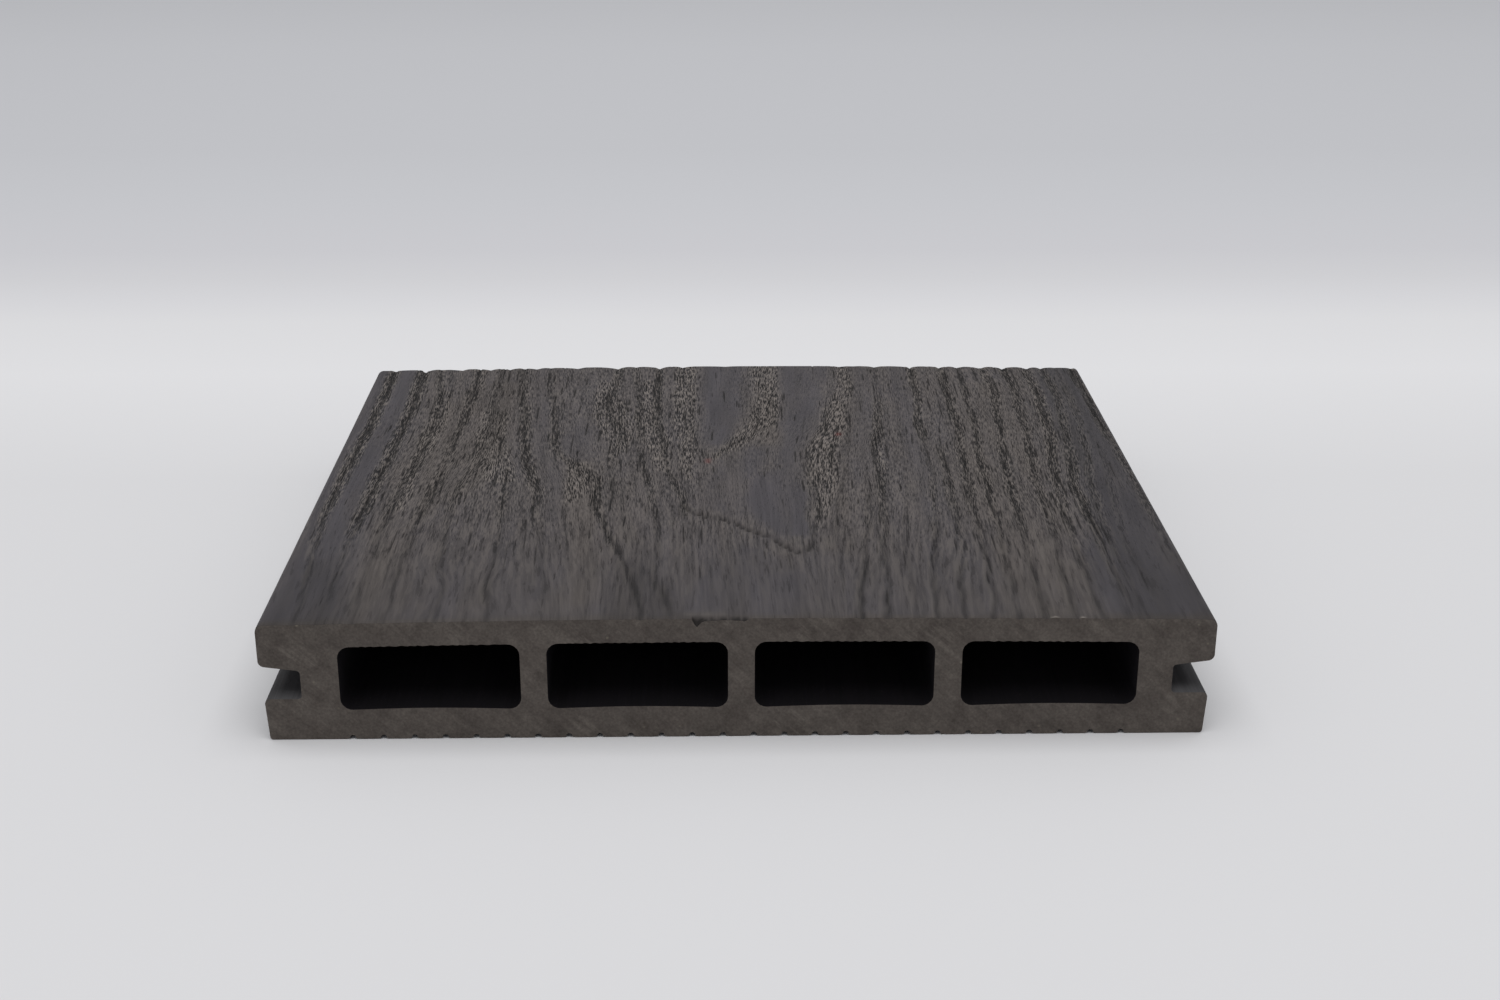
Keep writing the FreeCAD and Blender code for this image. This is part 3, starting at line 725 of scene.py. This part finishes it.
class MeshParts:
    """Collects vertices and faces for one closed mesh."""

    def __init__(self):
        self.points, self.faces, self.kinds = [], [], []
        self.count = 0

    def add_points(self, x, y, z):
        """Adds points and returns their numbers, in the shape that they came in."""
        stack = np.column_stack([np.ravel(x), np.ravel(y), np.ravel(z)])
        self.points.append(stack)
        numbers = np.arange(self.count, self.count + len(stack)).reshape(np.shape(x))
        self.count += len(stack)
        return numbers

    def add_run(self, section, stations):
        """Adds a section's points at every station along the board."""
        x, y = np.meshgrid(section[:, 0], stations)
        return self.add_points(x, y, np.broadcast_to(section[:, 1], x.shape))

    def add_faces(self, faces, kind):
        """Adds faces of three or four corners with their finish."""
        self.faces.extend(np.asarray(faces).tolist())
        self.kinds.extend([kind] * len(faces))

    def add_grid(self, numbers, kind):
        """Joins a grid of points, rows along the board and columns along the section, with quads."""
        quads = np.stack([numbers[:-1, :-1], numbers[:-1, 1:], numbers[1:, 1:], numbers[1:, :-1]], axis=-1)
        self.add_faces(quads.reshape(-1, 4), kind)

    def add_zip(self, first, first_y, second, second_y, kind):
        """Joins two lines of points that run along the board at different spacing."""
        i = j = 0
        faces = []
        while i + 1 < len(first) or j + 1 < len(second):
            if j + 1 == len(second) or (i + 1 < len(first) and first_y[i + 1] <= second_y[j + 1]):
                faces.append((first[i], first[i + 1], second[j]))
                i += 1
            else:
                faces.append((first[i], second[j + 1], second[j]))
                j += 1
        self.add_faces(faces, kind)


# Finishes in the order of the mesh's slots, and the grain's masks that the top's finish reads
TOP, SKIN, SAWN, CHAMBER = range(4)
MASKS = ("across", "cavity", "shade", "crease", "ridge", "rough", "brown", "torn", "pale", "red")


def inside_loop(loop, points):
    """Which of the points lie inside a closed loop."""
    x, z = points[:, :1], points[:, 1:]
    x0, z0 = loop[:, 0], loop[:, 1]
    x1, z1 = np.roll(x0, -1), np.roll(z0, -1)
    crosses = (z0 > z) != (z1 > z)
    with np.errstate(divide="ignore", invalid="ignore"):
        hit = x < (x1 - x0) * (z - z0) / (z1 - z0) + x0
    return np.sum(crosses & hit, axis=1) % 2 == 1


def end_face(parts, loops, section, outward_front):
    """Fills the sawn end between the outer loop and the chamber loops."""
    numbers = np.concatenate(loops)
    flat = section[numbers]
    edges = []
    start = 0
    for loop in loops:
        count = len(loop)
        edges.extend((start + i, start + (i + 1) % count) for i in range(count))
        start += count
    corners = [Vector((float(x), float(z))) for x, z in flat]
    _, _, triangles, origin, _, _ = delaunay_2d_cdt(corners, edges, [], 0, 1e-6)
    triangles = np.array([[origin[c][0] for c in triangle] for triangle in triangles])
    middles = flat[triangles].mean(axis=1)
    keep = inside_loop(section[loops[0]], middles)
    for loop in loops[1:]:
        keep &= ~inside_loop(section[loop], middles)
    triangles = triangles[keep]
    first, second, third = (flat[triangles[:, i]] for i in range(3))
    turn = np.cross(second - first, third - first)
    wrong = (turn > 0) != outward_front
    triangles[wrong] = triangles[wrong][:, ::-1]
    parts.add_faces(numbers[triangles], SAWN)


def add_object(name, data):
    """Puts a new object into the scene."""
    made = bpy.data.objects.new(name, data)
    bpy.context.scene.collection.objects.link(made)
    return made


def build_board():
    """Makes the board's mesh with its masks as attributes."""
    profile, normals = top_profile()
    near = np.array(END_ROWS)
    middle = np.linspace(near[-1], LENGTH - near[-1], TOP_ROWS)[1:-1]
    rows = np.concatenate([near, middle, LENGTH - near[::-1]])
    stations = np.linspace(0, LENGTH, SKIN_STATIONS)
    grain = Grain(profile[:, 0], rows)
    edge_marks(grain)
    parts = MeshParts()

    # The top follows the relief along its normals, which fades out down the rounded side edges
    fade = smooth_step((normals[:, 1] - RELIEF_FADE_FROM) / RELIEF_FADE_OVER)
    lift = grain.relief * fade
    top_x = profile[:, 0] + normals[:, 0] * lift
    top_z = profile[:, 1] + normals[:, 1] * lift
    top = parts.add_points(top_x, grain.y, top_z)
    parts.add_grid(top, TOP)

    # The skin runs straight from end to end
    skin = parts.add_run(outline_chain(), stations)
    parts.add_grid(skin, SKIN)
    parts.add_zip(skin[:, 0], stations, top[:, -1], rows, SKIN)
    parts.add_zip(top[:, 0], rows, skin[:, -1], stations, SKIN)

    # Chambers, open at both ends
    chambers = []
    for index in range(CHAMBERS):
        tube = parts.add_run(chamber_loop(index), stations)
        closed = np.column_stack([tube, tube[:, :1]])
        parts.add_grid(closed[:, ::-1], CHAMBER)
        chambers.append(tube)

    points = np.vstack(parts.points)
    section = points[:, [0, 2]]
    for end, front in ((0, True), (-1, False)):
        outer = np.concatenate([top[end], skin[end]])
        end_face(parts, [outer, *(tube[end] for tube in chambers)], section, front)

    frame_points = points * MM
    frame_points[:, 1] += FRONT_Y
    mesh = bpy.data.meshes.new(PIECE)
    mesh.from_pydata(frame_points.tolist(), [], parts.faces)
    kinds = np.array(parts.kinds, dtype=np.int32)
    mesh.polygons.foreach_set("material_index", kinds)
    mesh.polygons.foreach_set("use_smooth", kinds != SAWN)

    for name in MASKS:
        full = np.zeros(len(points), np.float32)
        full[top.ravel()] = getattr(grain, name).ravel()
        mesh.attributes.new(name, "FLOAT", "POINT").data.foreach_set("value", full)
    mesh.update()
    return add_object(PIECE, mesh)


def linear(red, green, blue):
    """A colour given as it looks on a screen, from 0 to 255, as the shader takes it."""
    shares = np.array([red, green, blue]) / 255
    return (*np.where(shares <= 0.04045, shares / 12.92, ((shares + 0.055) / 1.055) ** 2.4), 1.0)


class Shader:
    """A node material, made a node at a time."""

    def __init__(self, name):
        self.material = bpy.data.materials.new(name)
        self.material.use_nodes = True
        self.tree = self.material.node_tree
        self.surface = self.tree.nodes["Principled BSDF"]

    def node(self, kind, inputs=None, **settings):
        """Adds a node, with its settings and its inputs as values or as other nodes' outputs."""
        made = self.tree.nodes.new("ShaderNode" + kind)
        for name, value in settings.items():
            setattr(made, name, value)
        for key, value in (inputs or {}).items():
            self.put(made.inputs[key], value)
        return made

    def put(self, socket, value):
        """Gives a socket a value or links an output to it."""
        if isinstance(value, bpy.types.NodeSocket):
            self.tree.links.new(value, socket)
        else:
            socket.default_value = value

    def finish(self, colour, roughness, specular):
        """Sets the surface's colour, roughness and specular level."""
        self.put(self.surface.inputs["Base Color"], colour)
        self.put(self.surface.inputs["Roughness"], roughness)
        self.put(self.surface.inputs["Specular IOR Level"], specular)

    def bump(self, height, distance, strength):
        """Roughens the surface by a height."""
        inputs = {"Height": height, "Distance": distance, "Strength": strength}
        self.put(self.surface.inputs["Normal"], self.node("Bump", inputs).outputs["Normal"])

    def mask(self, name):
        """One of the mesh's attributes."""
        return self.node("Attribute", attribute_name=name).outputs["Fac"]

    def place(self):
        """The place on the object, in metres."""
        return self.node("TexCoord").outputs["Object"]

    def along(self):
        """The place along the board, in metres."""
        return self.node("SeparateXYZ", {"Vector": self.place()}).outputs["Y"]

    def mapped(self, vector, **settings):
        """The vector scaled or turned."""
        return self.node("Mapping", {"Vector": vector, **settings}).outputs["Vector"]

    def noise(self, vector, cells, detail=2.0, roughness=0.5):
        """Noise with so many cells to the metre across the board, along it and up."""
        vector = self.mapped(vector, Scale=cells)
        inputs = {"Vector": vector, "Scale": 1.0, "Detail": detail, "Roughness": roughness}
        return self.node("TexNoise", inputs).outputs["Fac"]

    def math(self, operation, first, second):
        return self.node("Math", {0: first, 1: second}, operation=operation).outputs[0]

    def times(self, first, second):
        return self.math("MULTIPLY", first, second)

    def plus(self, first, second):
        return self.math("ADD", first, second)

    def minus(self, first, second):
        return self.math("SUBTRACT", first, second)

    def ramp(self, value, low, high, to_low=0.0, to_high=1.0):
        """Maps low..high to to_low..to_high, held at both ends."""
        inputs = {"Value": value, "From Min": low, "From Max": high, "To Min": to_low, "To Max": to_high}
        return self.node("MapRange", inputs).outputs["Result"]

    def blend(self, share, first, second, way="MIX"):
        """Mixes two colours by a share."""
        inputs = {"Factor": share, 6: first, 7: second}
        return self.node("Mix", inputs, data_type="RGBA", blend_type=way).outputs[2]

    def vary(self, colour, pattern, span, swing):
        """The colour made darker and lighter by a pattern, by so much each way over its span."""
        return self.blend(1.0, colour, self.ramp(pattern, *span, 1 - swing, 1 + swing), "MULTIPLY")


# Colours of the composite, as they look under even light, and colours of painted shade and highlights: pore
# and shade black, fibre tip and ridge highlights, the chip's dark, the burrs' pale and the chambers' near
# black
CALM_GREY = linear(68, 65, 69)
FIBRE_BROWN = linear(78, 73, 71)
PORE_AND_SHADE_BLACK = linear(24, 22, 22)
FIBRE_TIP_HIGHLIGHT = linear(120, 113, 108)
RIDGE_HIGHLIGHT = linear(92, 87, 83)
TORN_AND_SHADOW_DARK = linear(24, 21, 20)
RIM_PALE_AND_BURR_HIGHLIGHT = linear(126, 120, 114)
RED_SPECK = linear(128, 62, 58)
SKIN_GREY = linear(74, 73, 75)
SKIN_DARK = linear(62, 61, 63)
CHAMBER_SHADE_BLACK = linear(18, 17, 19)
CHAMBER_SHADE_GREY = linear(24, 22, 25)
SAWN_BROWN = linear(92, 86, 81)
SAWN_DARK = linear(74, 68, 64)
SAWN_SCRATCH = linear(104, 98, 92)
SAWN_SPECK = linear(132, 126, 112)

# Turn of the saw marks, and the parts of a pattern's range over which it takes effect
SAW_SLANT = math.radians(-42)
WHOLE = (0.25, 0.75)
MIDDLE = (0.3, 0.7)

# Dark and pale dashes of the top, dark pores with painted shade and painted highlights on raised fibre tips:
# how they mix, how many show and how strongly
FINE_DASH_SHARE = 0.75
DASH_MIDDLE = 0.5
DASH_EVENING = 1.4
DASH_GATHERING = 0.035
DASH_LIMITS = (0.36, 0.45)
DASH_SHADE_LIMIT = 0.03
DASH_EDGE = (0.018, -0.024)
DASH_DARKNESS = (0.35, 0.98)
DASH_FRONT_DARKNESS = 0.6
PALE_DASH_SPAN = (0.49, 0.58)

# How much of each mark of the mesh shows in the colour, as painted highlight on the ridges and painted shade
# in the valleys, creases and pores
RIDGE_TINT = 0.45
SHADE_TINT = 0.42
CREASE_TINT = 0.55
CAVITY_SPAN = (0.08, 0.5)
CAVITY_TINT = 0.8


def top_finish():
    """The pressed top: calm bluish grey, brown fibre, black pores and the front edge's marks, with painted
    shade in pores, valleys and creases and painted highlights on raised tips and ridges.
    """
    s = Shader("composite_top")
    rough, brown, shade = (s.mask(name) for name in ("rough", "brown", "shade"))
    along = s.along()
    grain = s.node("CombineXYZ", {"X": s.mask("across"), "Y": along}).outputs["Vector"]
    clouds = s.noise(grain, (380, 45, 0), detail=3)
    streaks = s.noise(grain, (700, 35, 0), detail=3, roughness=0.6)
    fibre = s.noise(grain, (2800, 80, 0))

    # Dashes that are soft at the front and fine at the back, evened between, and gathered along the streaks
    fine_dash = s.times(s.noise(grain, (6200, 480, 0), detail=1), FINE_DASH_SHARE)
    fine_dash = s.plus(fine_dash, s.times(fibre, 1 - FINE_DASH_SHARE))
    soft_dash = s.noise(grain, (1500, 130, 0))
    crisp = s.ramp(along, FRONT_Y + CRISP_FROM * MM, FRONT_Y + CRISP_TO * MM)
    soft = s.minus(1, crisp)
    dash = s.plus(s.times(fine_dash, crisp), s.times(soft_dash, soft))
    evened = s.ramp(s.times(crisp, soft), 0, 0.25, 1, DASH_EVENING)
    dash = s.plus(s.times(s.minus(dash, DASH_MIDDLE), evened), DASH_MIDDLE)
    gathered = s.ramp(streaks, *MIDDLE, -DASH_GATHERING, DASH_GATHERING)
    gathered = s.times(gathered, s.ramp(rough, 0.4, 0.9, 1, 0.2))
    dash = s.plus(dash, s.times(gathered, s.ramp(rough, 0.05, 0.3, 0.2, 1)))

    # Even grey or brown, clouded and streaked along the grain
    colour = s.blend(brown, CALM_GREY, FIBRE_BROWN)
    for pattern, swing in ((clouds, 0.16), (streaks, 0.16), (fibre, 0.1)):
        colour = s.vary(colour, pattern, WHOLE, swing)
    # Ridges and raised patches painted pale as highlights
    colour = s.blend(s.times(s.mask("ridge"), RIDGE_TINT), colour, RIDGE_HIGHLIGHT)

    # The dashes, dark and pale, as thick as the top is rough: the dark ones partly pore colour, partly
    # painted shade, the pale ones painted highlights on the raised tips
    limit = s.plus(s.ramp(rough, 0, 1, *DASH_LIMITS), s.ramp(shade, 0, 1, 0, DASH_SHADE_LIMIT))
    dark = s.times(s.ramp(s.minus(dash, limit), *DASH_EDGE), s.ramp(rough, 0, 0.9, *DASH_DARKNESS))
    dark = s.times(dark, s.ramp(crisp, 0, 0.5, DASH_FRONT_DARKNESS, 1))
    tips = s.times(s.ramp(dash, *PALE_DASH_SPAN), rough)
    colour = s.blend(tips, colour, FIBRE_TIP_HIGHLIGHT)
    colour = s.blend(dark, colour, PORE_AND_SHADE_BLACK)

    # Painted shade in the valleys, creases and pores, and single marks that the mesh has
    colour = s.blend(s.times(shade, SHADE_TINT), colour, PORE_AND_SHADE_BLACK)
    colour = s.blend(s.times(s.mask("crease"), CREASE_TINT), colour, PORE_AND_SHADE_BLACK)
    # Pores darkened, partly their dirt, partly painted shade
    colour = s.blend(s.ramp(s.mask("cavity"), *CAVITY_SPAN, 0, CAVITY_TINT), colour, PORE_AND_SHADE_BLACK)
    for name, tint in (("torn", TORN_AND_SHADOW_DARK), ("pale", RIM_PALE_AND_BURR_HIGHLIGHT), ("red", RED_SPECK)):
        colour = s.blend(s.mask(name), colour, tint)
    s.finish(colour, s.ramp(brown, 0, 1, 0.55, 0.7), specular=0.2)
    height = s.minus(s.plus(s.times(fibre, 0.35), s.times(tips, 0.4)), dark)
    s.bump(height, distance=0.12 * MM, strength=0.8)
    return s.material


def skin_finish():
    """The extruded sides and base: dark grey with fine lines drawn by the die."""
    s = Shader("composite_skin")
    place = s.place()
    lines = s.noise(place, (2400, 14, 2400), detail=3, roughness=0.6)
    clouds = s.noise(place, (180, 40, 180), detail=3)
    grit = s.noise(place, (2600,) * 3)
    colour = s.blend(s.ramp(lines, *MIDDLE), SKIN_DARK, SKIN_GREY)
    colour = s.blend(s.ramp(clouds, 0.35, 0.75, 0, 0.35), colour, SKIN_DARK)
    s.finish(colour, s.ramp(clouds, *MIDDLE, 0.45, 0.62), specular=0.25)
    s.bump(s.plus(s.times(lines, 0.8), s.times(grit, 0.3)), distance=0.06 * MM, strength=0.7)
    return s.material


def chamber_finish():
    """The insides of the chambers: dull and nearly black, painted darker than the skin as shade, with faint
    lines drawn by the die.
    """
    s = Shader("composite_chamber_painted_shade")
    lines = s.noise(s.place(), (1500, 10, 1500), detail=3, roughness=0.6)
    colour = s.blend(s.ramp(lines, *MIDDLE), CHAMBER_SHADE_BLACK, CHAMBER_SHADE_GREY)
    s.finish(colour, s.ramp(lines, *MIDDLE, 0.75, 0.95), specular=0.05)
    s.bump(lines, distance=0.08 * MM, strength=0.6)
    return s.material


def sawn_finish():
    """The sawn ends: brown-black wood flour with slanting saw marks and pale specks."""
    s = Shader("composite_sawn")
    place = s.place()
    slanted = s.mapped(place, Rotation=(0, SAW_SLANT, 0))
    sawing = s.noise(slanted, (150, 150, 1300), detail=3, roughness=0.6)
    scratches = s.times(sawing, s.ramp(s.noise(place, (120,) * 3), 0.4, 0.65))
    mottle = s.noise(place, (300,) * 3, detail=4, roughness=0.6)
    grit = s.noise(place, (2400,) * 3, roughness=0.7)
    specks = s.node("TexVoronoi", {"Vector": place, "Scale": 560})
    lot = s.node("SeparateColor", {"Color": specks.outputs["Color"]}).outputs[0]
    speck_share = s.times(s.ramp(specks.outputs["Distance"], 0.16, 0.04), s.ramp(lot, 0.82, 1))
    colour = s.blend(s.ramp(mottle, *MIDDLE), SAWN_DARK, SAWN_BROWN)
    colour = s.vary(colour, sawing, MIDDLE, 0.12)
    colour = s.blend(s.ramp(scratches, 0.48, 0.68, 0, 0.5), colour, SAWN_SCRATCH)
    colour = s.vary(colour, grit, WHOLE, 0.2)
    colour = s.blend(s.times(speck_share, 0.6), colour, SAWN_SPECK)
    s.finish(colour, roughness=0.78, specular=0.2)
    s.bump(s.plus(s.times(scratches, 0.5), s.times(grit, 0.3)), distance=0.06 * MM, strength=0.5)
    return s.material


def make_board():
    """Builds the board, gives it its finishes and hands it to the frame."""
    board = build_board()
    for finish in (top_finish, skin_finish, sawn_finish, chamber_finish):
        board.data.materials.append(finish())
    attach(board, BODY)
    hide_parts(NODE)


# Studio: a pale floor that greys behind the board, painted with the light and shade of a backdrop sweep, an
# even tent of light and a large soft lamp above
FLOOR_RADIUS = 3.0
FLOOR_CORNERS = 96
FLOOR_GAP = 0.00005
FLOOR_FROM = -0.1
FLOOR_TO = 0.6
# Floor greys painted as light and shade: a bright band behind the board, then greying as a backdrop sweep's
# wall would
FLOOR_GREYS = (
    (-0.1, (219, 219, 221)), (0.05, (220, 220, 222)), (0.12, (229, 229, 231)), (0.163, (226, 226, 228)),
    (0.182, (221, 221, 224)), (0.205, (215, 215, 218)), (0.234, (210, 210, 214)), (0.3, (207, 208, 212)),
    (0.375, (205, 206, 210)), (0.6, (209, 210, 214)),
)
TENT_COLOUR = (0.99, 0.99, 1.0, 1.0)
TENT_STRENGTH = 0.4
LAMP_PLACE = (0.0, -0.35, 1.6)
LAMP_SIDE = 1.7
LAMP_POWER = 21.0


def make_floor():
    """A wide round floor under the board."""
    angles = np.linspace(0, 2 * math.pi, FLOOR_CORNERS, endpoint=False)
    points = [(FLOOR_RADIUS * math.cos(a), FLOOR_RADIUS * math.sin(a), 0.0) for a in angles]
    mesh = bpy.data.meshes.new("floor")
    mesh.from_pydata(points, [], [tuple(range(FLOOR_CORNERS))])
    floor = add_object("floor", mesh)
    floor.location.z = BOARD_LOW.z - FLOOR_GAP
    s = Shader("floor_paper")
    greys = s.node("ValToRGB", {"Fac": s.ramp(s.along(), FLOOR_FROM, FLOOR_TO)})
    stops = greys.color_ramp.elements
    while len(stops) < len(FLOOR_GREYS):
        stops.new(1.0)
    for stop, (y, grey) in zip(stops, FLOOR_GREYS):
        stop.position = (y - FLOOR_FROM) / (FLOOR_TO - FLOOR_FROM)
        stop.color = linear(*grey)
    s.finish(greys.outputs["Color"], roughness=0.9, specular=0.1)
    mesh.materials.append(s.material)


def make_light():
    """An even tent of light and a large soft lamp above."""
    world = bpy.data.worlds.new("tent")
    world.use_nodes = True
    background = world.node_tree.nodes["Background"]
    background.inputs["Color"].default_value = TENT_COLOUR
    background.inputs["Strength"].default_value = TENT_STRENGTH
    bpy.context.scene.world = world
    lamp = bpy.data.lights.new("soft_lamp", "AREA")
    lamp.shape = "SQUARE"
    lamp.size = LAMP_SIDE
    lamp.energy = LAMP_POWER
    add_object("soft_lamp", lamp).location = LAMP_PLACE


# Camera, solved from the board's corners and edges in the 1500 x 1000 picture
CAMERA_PLACE = (-4.175, -339.026, 148.235)
CAMERA_HEADING = 1.2185
CAMERA_PITCH = 21.517
CAMERA_ROLL = 0.1259
IMAGE_WIDTH = 1500
FOCAL_PIXELS = 2029.08
SENSOR_WIDTH = 36.0
CLIP_NEAR = 0.01
CLIP_FAR = 20.0


def make_camera():
    """The camera at the photograph's view."""
    lens = bpy.data.cameras.new("photo_view")
    lens.sensor_width = SENSOR_WIDTH
    lens.lens = FOCAL_PIXELS / IMAGE_WIDTH * SENSOR_WIDTH
    lens.clip_start = CLIP_NEAR
    lens.clip_end = CLIP_FAR
    stand = Matrix.Translation(Vector(CAMERA_PLACE) * MM)
    for angle, axis in ((-CAMERA_HEADING, "Z"), (90 - CAMERA_PITCH, "X"), (CAMERA_ROLL, "Z")):
        stand = stand @ Matrix.Rotation(math.radians(angle), 4, axis)
    camera = add_object("photo_view", lens)
    camera.matrix_world = stand
    bpy.context.scene.camera = camera


make_board()
make_floor()
make_light()
make_camera()
bpy.context.scene.view_settings.view_transform = "Standard"
